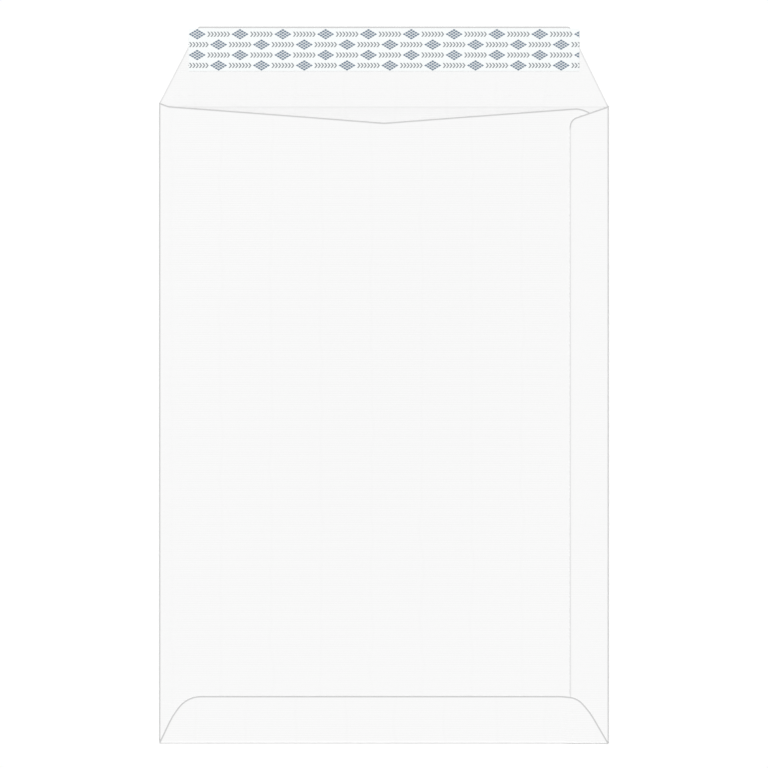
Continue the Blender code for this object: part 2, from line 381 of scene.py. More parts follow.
@dataclass
class Finish(NodeWriter):
    """A material under construction, with what every finish here needs.

    Args:
        tree: The material's shader tree.
        material: The material.
    """

    material: Material

    @classmethod
    def begin(cls, name: str) -> "Finish":
        """Make a material with a plain shader.

        Args:
            name: The material's name.

        Returns:
            The writer of its shader tree.
        """
        material = bpy.data.materials.new(name)
        material.use_nodes = True
        return cls(material.node_tree, material)

    def set_shader(self, **values: Value) -> None:
        """Set the shader's sockets, named with underscores for spaces."""
        named = {name.replace("_", " "): value for name, value in values.items()}
        self.fill(self.tree.nodes["Principled BSDF"], named)

    def place(self) -> Socket:
        """The object's own coordinates."""
        return self.add("ShaderNodeTexCoord").outputs["Object"]

    def blank_place(self) -> Socket:
        """Coordinates on the flat blank."""
        return self.add("ShaderNodeUVMap", uv_map=BLANK_UV).outputs["UV"]

    def stretched(self, place: Socket, scale: Triple) -> Socket:
        """Scale coordinates along each axis."""
        return self.fill(self.add("ShaderNodeMapping"), {"Vector": place, "Scale": scale}).outputs["Vector"]

    def noise(self, place: Socket, scale: float, detail: float) -> Socket:
        """Noise between 0 and 1 over the given coordinates."""
        values = {"Vector": place, "Scale": scale, "Detail": detail}
        return self.fill(self.add("ShaderNodeTexNoise"), values).outputs[0]

    def spread(self, value: Value, low: float, high: float) -> Socket:
        """Map 0 to 1 onto a range from low to high."""
        return self.add("ShaderNodeMapRange", value, 0.0, 1.0, low, high).outputs["Result"]

    def blend(self, share: Value, first: Value, second: Value) -> Socket:
        """Mix two colours by a share. One below zero leads away from the second.

        Args:
            share: The second colour's share.
            first: The colour at 0.
            second: The colour at 1.

        Returns:
            The mixed colour.
        """
        node = self.add("ShaderNodeMix", share, data_type="RGBA", clamp_factor=False)
        for socket, colour in zip(node.inputs[MIX_COLOURS], (first, second)):
            self.put(socket, (*colour, 1.0) if isinstance(colour, tuple) else colour)
        return node.outputs[MIX_RESULT]

    def relief(self, height: Value, depth: float, under: Optional[Socket] = None) -> Socket:
        """Raise a pattern.

        Args:
            height: The pattern, between 0 and 1.
            depth: How high it stands.
            under: Another relief that it lies on.

        Returns:
            The normal that shows it.
        """
        values = {"Strength": 1.0, "Distance": depth, "Height": height}
        if under is not None:
            values["Normal"] = under
        return self.fill(self.add("ShaderNodeBump"), values).outputs["Normal"]

    def ribs(self, along: Socket, pitch: float, wander: Value) -> Socket:
        """Make even rounded ribs.

        Args:
            along: The coordinate that the ribs lie across.
            pitch: Their spacing.
            wander: How far they stray, as an angle of their wave.

        Returns:
            Their height, between 0 and 1.
        """
        turns = self.times(along, 2 * math.pi / pitch)
        wave = self.math("SINE", self.plus(turns, wander))
        return self.math("MULTIPLY_ADD", wave, 0.5, 0.5)


@dataclass(frozen=True)
class LaidPaper:
    """White laid writing paper: its ribs and cloudy formation, with painted shade in its furrows and painted
    shade and highlight lines along its edges and folds.
    """

    name: str = "laid_paper"
    colour: Triple = (0.915, 0.915, 0.915)
    # The colour that the painted shade in the laid furrows and chain lines leans to.
    shaded: Triple = (0.55, 0.55, 0.55)
    # The share of the paper's colour at the darkest painted shade line.
    painted_line_share: float = 0.62
    laid_pitch: float = 0.00115
    laid_tone: float = 0.006
    laid_depth: float = 0.000018
    chain_pitch: float = 0.0255
    chain_sharpness: float = 60.0
    chain_tone: float = 0.018
    chain_depth: float = 0.000022
    wander_scale: float = 40.0
    wander_turn: float = 0.7
    cloud_scale: float = 55.0
    cloud_share: float = 0.003
    fibre_scale: float = 1500.0
    fibre_stretch: Triple = (1.0, 2.4, 1.0)
    fibre_depth: float = 0.000006
    # Noise that makes the painted shade lines a little uneven.
    shade_line_mottle_scale: float = 300.0
    shade_line_mottle_low: float = 0.86
    roughness: Pair = (0.80, 0.92)
    specular: float = 0.25

    def make(self) -> Material:
        """Build the material.

        Returns:
            The finished material.
        """
        finish = Finish.begin(self.name)
        blank = finish.blank_place()
        across, along, _ = finish.split(blank)
        fibre = finish.noise(finish.stretched(blank, self.fibre_stretch), self.fibre_scale, detail=4.0)
        stray = finish.noise(blank, self.wander_scale, detail=1.0)
        wander = finish.spread(stray, -self.wander_turn, self.wander_turn)
        laid = finish.ribs(along, self.laid_pitch, wander)
        chain = finish.math("POWER", finish.ribs(across, self.chain_pitch, wander), self.chain_sharpness)
        finish.set_shader(Base_Color=self.tint(finish, blank, laid, chain))
        finish.set_shader(Roughness=finish.spread(fibre, *self.roughness), Specular_IOR_Level=self.specular)
        ribbed = finish.relief(laid, self.laid_depth)
        chained = finish.relief(chain, self.chain_depth, ribbed)
        finish.set_shader(Normal=finish.relief(fibre, self.fibre_depth, chained))
        return finish.material

    def tint(self, finish: Finish, blank: Socket, laid: Socket, chain: Socket) -> Socket:
        """Colour the paper, with its clouds, painted shade in its ribs' furrows, and painted shade and
        highlight lines along its edges and folds.

        Args:
            finish: The material under construction.
            blank: Coordinates on the flat blank.
            laid: The height of the laid ribs.
            chain: The height of the chain lines.

        Returns:
            The colour.
        """
        cloud = finish.noise(blank, self.cloud_scale, detail=3.0)
        dim, light = (scaled(self.colour, 1.0 + side * self.cloud_share) for side in (-1, 1))
        # Painted shade: the laid furrows and the chain lines are darkened in colour, on top of their relief.
        furrows = finish.times(finish.minus(1.0, laid), self.laid_tone)
        shade = finish.math("MAXIMUM", furrows, finish.times(chain, self.chain_tone))
        ribbed = finish.blend(shade, finish.blend(cloud, dim, light), self.shaded)
        # Painted shade lines along the edges and folds, mottled by noise, and a painted highlight where the
        # tone is below zero.
        tone = finish.add("ShaderNodeAttribute", attribute_name=PAINTED_SHADE_ATTRIBUTE).outputs["Fac"]
        shade_line_mottle = finish.spread(finish.noise(blank, self.shade_line_mottle_scale, detail=2.0), self.shade_line_mottle_low, 1.0)
        return finish.blend(finish.times(tone, shade_line_mottle), ribbed, scaled(self.colour, self.painted_line_share))


@dataclass(frozen=True)
class CutEdge:
    """The paper's cut edge, where loose fibres show."""

    name: str = "paper_cut_edge"
    colour: Triple = (0.86, 0.86, 0.86)
    dark_share: float = 0.93
    fuzz_scale: float = 4000.0
    fuzz_stretch: Triple = (1.0, 1.0, 6.0)
    fuzz_depth: float = 0.00001
    roughness: float = 0.95
    specular: float = 0.2

    def make(self) -> Material:
        """Build the material.

        Returns:
            The finished material.
        """
        finish = Finish.begin(self.name)
        fuzz = finish.noise(finish.stretched(finish.place(), self.fuzz_stretch), self.fuzz_scale, detail=3.0)
        finish.set_shader(Base_Color=finish.blend(fuzz, scaled(self.colour, self.dark_share), self.colour))
        finish.set_shader(Roughness=self.roughness, Specular_IOR_Level=self.specular)
        finish.set_shader(Normal=finish.relief(fuzz, self.fuzz_depth))
        return finish.material


@dataclass(frozen=True)
class LinerPaper:
    """Bright siliconised liner paper with a soft sheen and fine calender marks."""

    name: str = "liner_paper"
    colour: Triple = (0.872, 0.899, 0.900)
    dim_share: float = 0.992
    cloud_scale: float = 90.0
    grain_scale: float = 2500.0
    grain_stretch: Triple = (0.25, 1.0, 1.0)
    grain_depth: float = 0.0000015
    roughness: Pair = (0.36, 0.48)
    specular: float = 0.4
    coat: float = 0.12
    coat_roughness: float = 0.3

    def make(self) -> Material:
        """Build the material.

        Returns:
            The finished material.
        """
        finish = Finish.begin(self.name)
        place = finish.place()
        grain = finish.noise(finish.stretched(place, self.grain_stretch), self.grain_scale, detail=3.0)
        cloud = finish.noise(place, self.cloud_scale, detail=2.0)
        finish.set_shader(Base_Color=finish.blend(cloud, scaled(self.colour, self.dim_share), self.colour))
        finish.set_shader(Roughness=finish.spread(grain, *self.roughness), Specular_IOR_Level=self.specular)
        finish.set_shader(Coat_Weight=self.coat, Coat_Roughness=self.coat_roughness)
        finish.set_shader(Normal=finish.relief(grain, self.grain_depth))
        return finish.material


@dataclass(frozen=True)
class PrintInk:
    """Printing ink on the liner, slightly mottled where it soaks in."""

    ink: Ink
    soak: float = 0.14
    soaked: float = 0.9
    mottle_scale: float = 2200.0
    roughness: Pair = (0.42, 0.6)
    specular: float = 0.35

    def make(self) -> Material:
        """Build the material.

        Returns:
            The finished material.
        """
        finish = Finish.begin(f"print_{self.ink.name.lower()}")
        mottle = finish.noise(finish.place(), self.mottle_scale, detail=4.0)
        pale = tuple(part + (self.soaked - part) * self.soak for part in self.ink.value)
        finish.set_shader(Base_Color=finish.blend(mottle, self.ink.value, pale))
        finish.set_shader(Roughness=finish.spread(mottle, *self.roughness), Specular_IOR_Level=self.specular)
        return finish.material


@dataclass(frozen=True)
class GlueFilm:
    """Dried glue or adhesive, in a thin uneven film."""

    name: str
    colour: Triple
    roughness: float
    depth: float
    roughness_spread: float = 0.08
    dark_share: float = 0.9
    streak_scale: float = 900.0
    streak_stretch: Triple = (0.2, 1.0, 1.0)

    def make(self) -> Material:
        """Build the material.

        Returns:
            The finished material.
        """
        finish = Finish.begin(self.name)
        place = finish.stretched(finish.place(), self.streak_stretch)
        streak = finish.noise(place, self.streak_scale, detail=3.0)
        low, high = self.roughness - self.roughness_spread, self.roughness + self.roughness_spread
        finish.set_shader(Base_Color=finish.blend(streak, scaled(self.colour, self.dark_share), self.colour))
        finish.set_shader(Roughness=finish.spread(streak, low, high))
        finish.set_shader(Normal=finish.relief(streak, self.depth))
        return finish.material


@dataclass(frozen=True)
class Corner:
    """One corner of the blank's outline, and the tone of the painted shade line along the edge that runs on
    from it.
    """

    x: float
    y: float
    radius: float = 0.0
    tone: PaintedEdgeShade = PaintedEdgeShade.NONE


@dataclass(frozen=True)
class Outline:
    """A closed outline of straight edges and arcs, anticlockwise."""

    corners: Sequence[Corner]
    arc_step: float = math.radians(6)

    def points(self) -> tuple[list[Vector], list[float]]:
        """Work out the outline's points.

        Returns:
            The points, and for each the tone of the painted shade line along the edge that leaves it.
        """
        places = [Vector((corner.x, corner.y)) for corner in self.corners]
        points: list[Vector] = []
        tones: list[float] = []
        for index, corner in enumerate(self.corners):
            arc = self.arc(places, index, corner.radius)
            before = self.corners[index - 1].tone.value
            points.extend(arc)
            tones.extend([max(before, corner.tone.value)] * (len(arc) - 1))
            tones.append(corner.tone.value)
        return points, tones

    def arc(self, places: Sequence[Vector], index: int, radius: float) -> list[Vector]:
        """Round one corner.

        Args:
            places: All corners.
            index: Which corner is rounded.
            radius: The arc's radius, or 0 for a sharp corner.

        Returns:
            The arc's points, or the corner itself.
        """
        corner = places[index]
        if radius == 0:
            return [corner]
        back = (places[index - 1] - corner).normalized()
        ahead = (places[(index + 1) % len(places)] - corner).normalized()
        half = back.angle(ahead) / 2
        centre = corner + (back + ahead).normalized() * (radius / math.sin(half))
        spoke = corner + back * (radius / math.tan(half)) - centre
        turn = math.copysign(math.pi - 2 * half, -back.cross(ahead))
        steps = max(2, math.ceil(abs(turn) / self.arc_step))
        return [centre + Matrix.Rotation(turn * step / steps, 2) @ spoke for step in range(steps + 1)]


@dataclass(frozen=True)
class Fold:
    """One half-turn fold of the blank.

    Args:
        start: Where its bend starts.
        radius: Its bend radius, at mid-paper.
        side: 1 where it ends the front panel at a high place, and -1 at a low one.
    """

    start: float
    radius: float
    side: int

    @property
    def end(self) -> float:
        """Where its bend ends, on the blank."""
        return self.blank(self.start)

    def blank(self, place: float) -> float:
        """Place on the blank of what it lays at a place of the folded sheet."""
        return 2 * self.start + self.side * math.pi * self.radius - place


@dataclass(frozen=True)
class Folds:
    """The pocket's three folds. Y is measured from the bottom fold, as on the blank."""

    width: float
    height: float
    paper: float = 0.00014
    layer: float = 0.00024

    @property
    def left(self) -> Fold:
        """The left fold, which lays the back panel on the front one."""
        return self.at_edge(-self.width / 2, self.layer / 2, -1)

    @property
    def right(self) -> Fold:
        """The right fold, which lays the side seam flap on the back panel."""
        return self.at_edge(self.width / 2, self.layer, 1)

    @property
    def bottom(self) -> Fold:
        """The bottom fold, as wide as it is below the side seam flap."""
        return self.at_edge(0.0, 1.5 * self.layer, -1)

    def at_edge(self, edge: float, radius: float, side: int) -> Fold:
        """The fold whose outside lies at one edge of the pocket."""
        return Fold(edge - side * radius - side * self.paper / 2, radius, side)


@dataclass(frozen=True)
class ClosureFlap:
    """The closure flap, opened out past the pocket's mouth."""

    height: float = 0.041
    tip_width: float = 0.1888
    corner_radius: float = 0.0015
    left_rise: float = 0.0023
    crease_rise: float = 0.00005
    crease_half_width: float = 0.0006

    def corners(self, folds: Folds) -> list[Corner]:
        """Lay out the flap.

        Args:
            folds: The pocket's folds.

        Returns:
            Corners from the right end of the free edge to the left notch.
        """
        top = folds.height + self.height
        return [
            Corner(self.tip_width / 2, top, self.corner_radius, PaintedEdgeShade.FULL),
            Corner(-self.tip_width / 2, top, self.corner_radius, PaintedEdgeShade.LIGHT),
            Corner(folds.left.start, folds.height + self.left_rise, tone=PaintedEdgeShade.FULL),
        ]


@dataclass(frozen=True)
class BackPanel:
    """The back panel, with the shallow V of the throat along its top."""

    inset: float = 0.0035
    foot: float = 0.002
    foot_radius: float = 0.003
    throat_depth: float = 0.0083
    throat_radius: float = 0.012
    throat_end_rise: float = 0.0004
    shoulder_run: float = 0.005
    shoulder_radius: float = 0.003
    corner_radius: float = 0.0135
    gape: float = 0.0052

    def corners(self, folds: Folds) -> list[Corner]:
        """Lay out the panel.

        Args:
            folds: The pocket's folds.

        Returns:
            Corners from the left shoulder over the throat and round to the left fold's foot.
        """
        back = folds.left.blank
        edge = back(folds.width / 2 - self.inset)
        ends = folds.height + self.throat_end_rise
        return [
            Corner(back(-folds.width / 2 + self.shoulder_run), ends, self.shoulder_radius, PaintedEdgeShade.FULL),
            Corner(back(0.0), folds.height - self.throat_depth, self.throat_radius, PaintedEdgeShade.FULL),
            Corner(edge, ends, self.corner_radius),
            Corner(edge, self.foot, self.foot_radius),
            Corner(folds.left.end, self.foot),
        ]


@dataclass(frozen=True)
class BottomFlap:
    """The bottom flap, glued up over the back panel and the side seam flap.

    Each end slopes in from the side fold to a knee, and from there to the free edge. A knee is given
    by its run in from the side fold and its height, and a tip by its run and its radius.
    """

    height: float = 0.0238
    left_knee: Pair = (0.0063, 0.0137)
    left_tip: Pair = (0.0140, 0.0143)
    right_knee: Pair = (0.0092, 0.0162)
    right_tip: Pair = (0.0161, 0.0102)
    knee_radius: float = 0.035
    step_run: float = 0.004
    step_clearance: float = 0.0005

    def corners(self, folds: Folds) -> list[Corner]:
        """Lay out the flap.

        Args:
            folds: The pocket's folds.

        Returns:
            Corners from the left end of the bottom fold, out round the flap and back to its right end.
        """
        left, right, bottom = folds.left.start, folds.right.start, folds.bottom
        edge = bottom.blank(self.height)
        full = PaintedEdgeShade.FULL
        return [
            Corner(left, bottom.start),
            Corner(left, bottom.end, tone=full),
            Corner(left + self.left_knee[0], bottom.blank(self.left_knee[1]), self.knee_radius, full),
            Corner(left + self.left_tip[0], edge, self.left_tip[1], full),
            Corner(right - self.right_tip[0], edge, self.right_tip[1], full),
            Corner(right - self.right_knee[0], bottom.blank(self.right_knee[1]), self.knee_radius, full),
            Corner(right, bottom.end),
            Corner(right, bottom.start),
        ]


@dataclass(frozen=True)
class SeamFlap:
    """The side seam flap, glued on the back panel along the right edge."""

    width: float = 0.020
    slant: float = 0.35
    corner_radius: float = 0.0052
    notch_rise: float = 0.0006

    def edge(self, folds: Folds) -> float:
        """Where the flap's long free edge lies once folded."""
        return folds.width / 2 - self.width

    def corners(self, folds: Folds) -> list[Corner]:
        """Lay out the flap.

        Args:
            folds: The pocket's folds.

        Returns:
            Corners from the flap's lower end up to the notch beside the closure flap.
        """
        fall = self.width * self.slant
        top = folds.height + self.notch_rise
        edge = folds.right.blank(self.edge(folds))
        return [
            Corner(edge, folds.bottom.start + fall, self.corner_radius, PaintedEdgeShade.LIGHT),
            Corner(edge, top - fall, self.corner_radius, PaintedEdgeShade.FULL),
            Corner(folds.right.start, top, tone=PaintedEdgeShade.LIGHT),
        ]


def half_turn_tree() -> Tree:
    """Make the rule of one half-turn fold.

    Returns:
        A tree that takes how far a point lies past the start of the bend, and the bend's radius. It
        gives how far the fold shifts the point back, and how high it lifts it.
    """
    tree = ShapeTree.begin("half_turn", ("Past", "Radius"), ("Shift", "Lift"))
    past, radius = tree.size("Past"), tree.size("Radius")
    angle = tree.math("MINIMUM", tree.math("DIVIDE", past, radius), math.pi)
    beyond = tree.over(past, tree.times(radius, math.pi))
    reach = tree.times(radius, tree.math("SINE", angle))
    lift = tree.times(radius, tree.minus(1.0, tree.math("COSINE", angle)))
    tree.fill(tree.end, {"Shift": tree.plus(tree.minus(past, reach), beyond), "Lift": lift})
    return tree.tree


def pocket_gape(tree: ShapeTree, folded_x: Socket, y: Socket) -> Socket:
    """Work out how high the back panel springs open.

    Args:
        tree: The fold tree.
        folded_x: The point's folded place across the pocket.
        y: Its place along the blank.

    Returns:
        The height: nothing at the pocket's foot and sides, and most at the middle of the mouth.
    """
    left = tree.size("Left Crease")
    span = tree.minus(tree.size("Gape End"), left)
    across = tree.math("DIVIDE", tree.minus(folded_x, left), span, clamp=True)
    arch = tree.math("SINE", tree.times(across, math.pi))
    return tree.times(arch, tree.ease(y, tree.size("Foot"), tree.size("Mouth"), 0.0, tree.size("Gape")))


def crease_ridge(tree: ShapeTree, y: Socket) -> Socket:
    """Work out how high the closure flap's crease stands, by the place along the blank."""
    off = tree.math("ABSOLUTE", tree.minus(y, tree.size("Mouth")))
    return tree.ease(off, 0.0, tree.size("Crease Half Width"), tree.size("Crease Rise"), 0.0)


def fold_tree(sizes: Sequence[str]) -> Tree:
    """Make the rule that folds the flat blank into the envelope.

    Args:
        sizes: The names of the tree's number inputs.

    Returns:
        A tree that moves each point of the blank to its place on the folded sheet.
    """
    tree = ShapeTree.begin("fold_blank", sizes)
    finish = tree.material_input()
    size, turn = tree.size, half_turn_tree()
    x, y, _ = tree.here()
    past_left = tree.over(size("Left Crease"), x)
    past_right = tree.over(x, size("Right Crease"))
    on_back = tree.math("GREATER_THAN", past_left, PAST_FOLD)
    on_body = tree.math("LESS_THAN", tree.plus(past_left, past_right), PAST_FOLD)
    past_bottom = tree.times(tree.over(size("Bottom Crease"), y), on_body)
    radii = size("Bottom Low Radius"), size("Bottom Radius")
    bottom_radius = tree.ease(x, size("Step Start"), size("Step End"), *radii)
    left = tree.use(turn, past_left, size("Left Radius")).outputs
    right = tree.use(turn, past_right, size("Right Radius")).outputs
    bottom = tree.use(turn, past_bottom, bottom_radius).outputs
    folded_x = tree.minus(tree.plus(x, left["Shift"]), right["Shift"])
    folded_y = tree.plus(y, bottom["Shift"])
    gape = tree.times(pocket_gape(tree, folded_x, y), on_back)
    ridge = tree.times(crease_ridge(tree, y), on_body)
    lift = tree.plus(left["Lift"], right["Lift"], bottom["Lift"], gape, ridge, size("Height"))
    place = tree.combine(folded_x, tree.minus(folded_y, size("Centre")), lift)
    tree.finish_with(tree.move_to(size("Geometry"), place), finish)
    return tree.tree


@dataclass
class FoldedSheet:
    """The envelope's one sheet: a die-cut blank, folded into the pocket with its opened flap."""

    folds: Folds
    closure: ClosureFlap = field(default_factory=ClosureFlap)
    back: BackPanel = field(default_factory=BackPanel)
    bottom: BottomFlap = field(default_factory=BottomFlap)
    seam: SeamFlap = field(default_factory=SeamFlap)
    grid: float = 0.006
    bend_steps: int = 12
    step_steps: int = 8
    crease_steps: int = 4
    # Widths of the painted shade lines along the edges and the folds.
    line_width: float = 0.00050
    line_fade: float = 0.00040
    fold_line: float = 0.00025
    nudge: float = 0.000001
    sharp_angle: float = math.radians(40)

    @classmethod
    def from_frame(cls) -> "FoldedSheet":
        """Size the sheet by its CAD node.

        Returns:
            The sheet, still to be built.
        """
        low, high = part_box(SHEET_NODE)
        closure = ClosureFlap()
        return cls(Folds(high.x - low.x, high.y - low.y - closure.height), closure)

    @property
    def length(self) -> float:
        """The whole length, from the bottom fold to the closure flap's free edge."""
        return self.folds.height + self.closure.height

    @property
    def step_end(self) -> float:
        """Where the bottom flap has climbed onto the side seam flap."""
        return self.seam.edge(self.folds) - self.bottom.step_clearance

    @property
    def step_start(self) -> float:
        """Where the bottom flap starts to climb."""
        return self.step_end - self.bottom.step_run

    def outline(self) -> Outline:
        """The blank's outline, anticlockwise from the closure flap's right tip."""
        parts = (self.closure, self.back, self.bottom, self.seam)
        return Outline([corner for part in parts for corner in part.corners(self.folds)])

    def flat_blank(self) -> bmesh.types.BMesh:
        """Cut the flat blank, with a fine margin along its edges, where the painted shade lines lie, and a
        grid over the rest.

        Returns:
            The blank as an open mesh that faces up.
        """
        points, _ = self.outline().points()
        work = bmesh.new()
        face = work.faces.new([work.verts.new((point.x, point.y, 0.0)) for point in points])
        work.normal_update()
        if face.normal.z < 0:
            face.normal_flip()
        for width in (self.line_width, self.line_fade):
            inner = max(work.faces, key=lambda item: item.calc_area())
            bmesh.ops.inset_region(
                work, faces=[inner], thickness=width, use_boundary=True, use_even_offset=True
            )
        for axis, places in ((X_AXIS, self.upright_cuts()), (Y_AXIS, self.level_cuts())):
            for place in places:
                cut_plane(work, axis * place, axis)
        return work

    def upright_cuts(self) -> list[float]:
        """Place the cuts across X: along the side bends and the step, and an even grid.

        Returns:
            Their places on the blank.
        """
        left, right = self.folds.left, self.folds.right
        far_left = min(point.x for point in self.outline().points()[0])
        cuts = self.bend_cuts(left) + self.bend_cuts(right)
        cuts += self.steps(self.step_start, self.step_end, self.step_steps)
        cuts += self.between(far_left, left.end) + self.between(left.start, right.start)
        cuts += self.between(right.end, right.end + self.seam.width)
        return cuts

    def level_cuts(self) -> list[float]:
        """Place the cuts across Y: along the bottom bend and the flap's crease, and an even grid.

        Returns:
            Their places on the blank.
        """
        bottom, mouth = self.folds.bottom, self.folds.height
        crease = self.closure.crease_half_width
        cuts = self.bend_cuts(bottom) + self.steps(mouth - crease, mouth + crease, self.crease_steps)
        cuts += self.between(bottom.end - self.bottom.height, bottom.end)
        cuts += self.between(bottom.start, mouth) + self.between(mouth, self.length)
        return cuts

    def bend_cuts(self, fold: Fold) -> list[float]:
        """Place the cuts along a bend, and on both sides of it where its painted shade line fades out.

        Args:
            fold: The fold.

        Returns:
            Their places on the blank.
        """
        low, high = sorted((fold.start, fold.end))
        widths = (self.fold_line, self.fold_line + self.line_fade)
        cuts = self.steps(fold.start, fold.end, self.bend_steps)
        return cuts + [low - width for width in widths] + [high + width for width in widths]

    @staticmethod
    def steps(start: float, end: float, count: int) -> list[float]:
        """Even places from start to end, both included."""
        return [start + (end - start) * step / count for step in range(count + 1)]

    def between(self, start: float, end: float) -> list[float]:
        """Even places inside a span, about one grid cell apart."""
        count = max(2, round((end - start) / self.grid))
        return self.steps(start, end, count)[1:-1]

    def tones(self, work: bmesh.types.BMesh) -> np.ndarray:
        """Work out the tone of the painted shade line at each vertex of the flat blank.

        Args:
            work: The flat blank.

        Returns:
            One tone for each vertex.
        """
        points, tones = self.outline().points()
        starts = np.array([point[:] for point in points])
        runs = np.roll(starts, -1, axis=0) - starts
        places = np.array([vert.co[:2] for vert in work.verts])
        away = places[:, None, :] - starts[None, :, :]
        share = (away * runs).sum(2) / np.maximum((runs * runs).sum(1), LEAST_SQUARE)
        near = away - np.clip(share, 0.0, 1.0)[:, :, None] * runs
        distance = np.sqrt((near * near).sum(2))
        fade = np.clip((self.line_width + self.line_fade - distance) / self.line_fade, 0.0, 1.0)
        edges = (fade * np.array(tones)).max(axis=1)
        folded = self.fold_tones(places)
        return np.where(edges > 0.0, np.maximum(edges, folded), folded)

    def fold_tones(self, places: np.ndarray) -> np.ndarray:
        """Work out the painted shade along the folds, and the painted highlight along the bottom fold.

        Args:
            places: Places on the blank.

        Returns:
            One tone for each place.
        """
        left, right, bottom = self.folds.left, self.folds.right, self.folds.bottom
        mouth = self.folds.height
        x, y = places[:, 0], places[:, 1]
        on_body = (x > left.start - self.nudge) & (x < right.start + self.nudge)
        beside = (y > bottom.start - self.nudge) & (y < mouth + self.closure.left_rise)
        # Painted shade lines along the side folds and the flap's crease, and a painted highlight along the
        # bottom fold.
        spans = (
            (x, left.end, left.start, PaintedEdgeShade.FULL, beside),
            (x, right.start, right.end, PaintedEdgeShade.MEDIUM, beside),
            # Painted highlight along the bottom fold.
            (y, bottom.end, bottom.start, PaintedEdgeShade.GLEAM, on_body),
            (y, mouth, mouth, PaintedEdgeShade.FAINT, on_body),
        )
        result = np.zeros(len(places))
        for along, low, high, tone, here in spans:
            off = np.maximum(low - along, along - high) - self.fold_line
            shade = np.where(here, tone.value * np.clip(1 - off / self.line_fade, 0.0, 1.0), 0.0)
            result = np.where(result > 0.0, np.maximum(result, shade), result + shade)
        return result

    def build(self, paper: Material, edge: Material) -> None:
        """Cut, fold and thicken the sheet.

        Args:
            paper: The finish of both faces.
            edge: The finish of the cut edge.
        """
        work = self.flat_blank()
        tones = self.tones(work)
        flat = work.loops.layers.uv.new(BLANK_UV)
        for face in work.faces:
            for loop in face.loops:
                loop[flat].uv = loop.vert.co.xy
        mesh = bpy.data.meshes.new("folded_sheet")
        work.to_mesh(mesh)
        work.free()
        attribute = mesh.attributes.new(PAINTED_SHADE_ATTRIBUTE, "FLOAT", "POINT")
        attribute.data.foreach_set("value", tones.astype(np.float32))
        sheet = link_object("folded_sheet", mesh)
        sizes = self.fold_sizes()
        run_tree(sheet, fold_tree(tuple(sizes)), sizes | {"Finish": paper})
        self.thicken(sheet, edge)
        seat_piece(sheet, Slot.PAPER, SHEET_NODE)

    def fold_sizes(self) -> dict[str, float]:
        """List the sizes that the fold tree asks for.

        Returns:
            The sizes by name.
        """
        folds = self.folds
        sizes = {}
        for name, fold in (("Left", folds.left), ("Right", folds.right), ("Bottom", folds.bottom)):
            sizes |= {f"{name} Crease": fold.start, f"{name} Radius": fold.radius}
        return sizes | {
            "Bottom Low Radius": folds.layer,
            "Step Start": self.step_start,
            "Step End": self.step_end,
            "Gape": self.back.gape,
            "Gape End": self.step_end,
            "Foot": self.bottom.height,
            "Mouth": folds.height,
            "Crease Rise": self.closure.crease_rise,
            "Crease Half Width": self.closure.crease_half_width,
            "Centre": self.length / 2,
            "Height": folds.paper / 2,
        }

    def thicken(self, sheet: Piece, edge: Material) -> None:
        """Give the folded surface the paper's thickness, with a cut edge all round.

        Args:
            sheet: The folded surface.
            edge: The finish of the cut edge.
        """
        sheet.data.materials.append(edge)
        solid = sheet.modifiers.new("paper", "SOLIDIFY")
        solid.thickness = self.folds.paper
        solid.offset = 0.0
        solid.use_even_offset = True
        solid.material_offset_rim = 1
        keep_evaluated(sheet)
        sheet.data.shade_smooth()
        sheet.data.set_sharp_from_angle(angle=self.sharp_angle)


@dataclass(frozen=True)
class Motif:
    """A motif of the print, drawn flat about its middle. Its fields are the sizes of its tree."""

    def sizes(self) -> dict[str, float]:
        """The tree's sizes by name, one for each field."""
        return {name.replace("_", " ").title(): float(size) for name, size in asdict(self).items()}

    def tree(self) -> Tree:
        """The rule that draws the motif, in flat faces that look up."""
        raise NotImplementedError


@dataclass(frozen=True)
class Chevrons(Motif):
    """A short run of chevrons, pointing along the strip."""

    count: int = 7
    pitch: float = 0.00165
    height: float = 0.0026
    point: float = 0.0010
    stroke: float = 0.00079

    def tree(self) -> Tree:
        """Make the rule that draws the run.

        Returns:
            A tree that makes flat faces which look up.
        """
        tree = ShapeTree.begin("chevron_run", tuple(self.sizes()))
        mark = tree.grid(tree.size("Stroke"), tree.size("Height"), 2, 3)
        x, y, z = tree.here()
        off = tree.math("DIVIDE", tree.math("ABSOLUTE", y), tree.times(tree.size("Height"), 0.5))
        ahead = tree.times(tree.size("Point"), tree.minus(0.5, off))
        pointed = tree.move_to(mark, tree.combine(tree.plus(x, ahead), y, z))
        half_run = tree.times(tree.minus(tree.size("Count"), 1.0), -0.5)
        places = {
            "Count": tree.size("Count"),
            "Start Location": tree.combine(tree.times(half_run, tree.size("Pitch")), 0.0, 0.0),
            "Offset": tree.combine(tree.size("Pitch"), 0.0, 0.0),
        }
        line = tree.fill(tree.add("GeometryNodeMeshLine", mode="OFFSET"), places).outputs["Mesh"]
        tree.fill(tree.end, {"Geometry": tree.repeat(line, pointed)})
        return tree.tree


